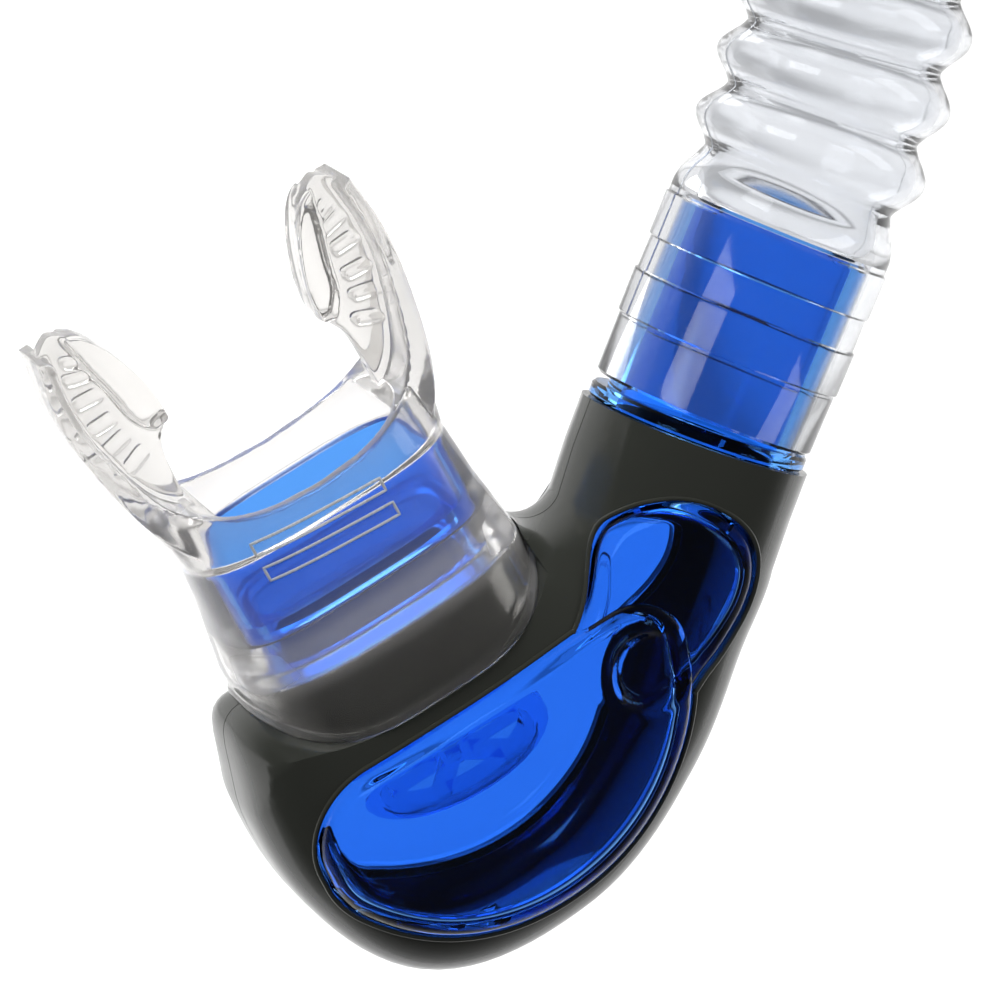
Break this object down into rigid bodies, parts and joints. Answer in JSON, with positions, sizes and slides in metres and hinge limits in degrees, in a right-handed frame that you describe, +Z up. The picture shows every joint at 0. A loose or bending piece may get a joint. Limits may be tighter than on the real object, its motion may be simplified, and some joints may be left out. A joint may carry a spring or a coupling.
{
  "type": "snorkel tube",
  "caption": "J-shaped snorkel: bite mouthpiece on a clear purge chamber in a dark shell, corrugated hose, straight barrel with a swivelling strap keeper and a float-valve top.",
  "frame": {"origin": "centre of the keeper clip's outer flat face, which lies against the mask strap", "axes": "+Z up along the barrel to the float-valve top, -X towards the mask and the mouthpiece, +Y to one side; the J lies in the XZ plane"},
  "size_m": [0.1808, 0.041, 0.4157],
  "materials": {
    "clear_silicone": "clear moulded silicone, slightly milky in thick places",
    "clear_blue": "transparent blue polycarbonate, polished",
    "blue_trim": "blue plastic, polished",
    "dark_shell": "dark green-grey plastic, glossy",
    "dark_matte": "dark plastic, fine texture",
    "signal_yellow": "signal yellow plastic",
    "grip_rubber": "soft dark rubber",
    "float_foam": "closed-cell foam",
    "pin_steel": "turned stainless steel"
  },
  "bodies": {
    "clip": {"keeper_clip": "dark_matte"},
    "collar": {"keeper_collar": "dark_matte", "keeper_pin": "pin_steel"},
    "liner": {"keeper_liner": "grip_rubber"},
    "barrel": {"barrel_tube": "dark_shell", "hose_stop_ring": "blue_trim", "signal_band": "signal_yellow", "valve_housing": "clear_blue", "seat_gasket": "grip_rubber", "rocker_pin": "pin_steel", "top_cap": "dark_shell"},
    "rocker": {"float_arm": "dark_matte", "seal_disc": "grip_rubber", "float": "float_foam"},
    "chamber": {"chamber_front": "clear_blue", "chamber_rear": "clear_blue", "hose_spigot": "clear_blue", "mouth_duct": "clear_blue", "front_cover": "dark_shell", "rear_cover": "dark_shell", "mouthpiece": "clear_silicone", "purge_valve_seat": "clear_blue", "flex_hose": "clear_silicone"},
    "diaphragm": {"purge_diaphragm": "clear_silicone"}
  },
  "joints": [
    {"name": "clip_swivel", "type": "hinge", "parent": "clip", "child": "collar", "pos_m": [0.0105, 0, 0], "axis": [1, 0, 0], "range_deg": [-35, 35]},
    {"name": "keeper_turn", "type": "hinge", "parent": "collar", "child": "liner", "pos_m": [0.0302, 0, 0], "axis": [0, 0, 1], "continuous": true},
    {"name": "keeper_slide", "type": "slide", "parent": "liner", "child": "barrel", "axis": [0, 0, 1], "range_m": [-0.021, 0.069]},
    {"name": "float_rocker", "type": "hinge", "parent": "barrel", "child": "rocker", "pos_m": [0.0477, 0, 0.078], "axis": [0, 1, 0], "range_deg": [-18, 0]},
    {"name": "hose_bend", "type": "hinge", "parent": "barrel", "child": "chamber", "pos_m": [0.0259, 0, -0.1581], "axis": [0, 1, 0], "range_deg": [-18, 18], "stiffness_Nm_per_rad": 0.8, "springref_deg": 4.01, "deforming": ["flex_hose"]},
    {"name": "purge_drop", "type": "slide", "parent": "chamber", "child": "diaphragm", "axis": [0.4618, 0, -0.887], "range_m": [0, 0.0014], "stiffness_N_per_m": 20, "springref_m": -0.0004}
  ]
}
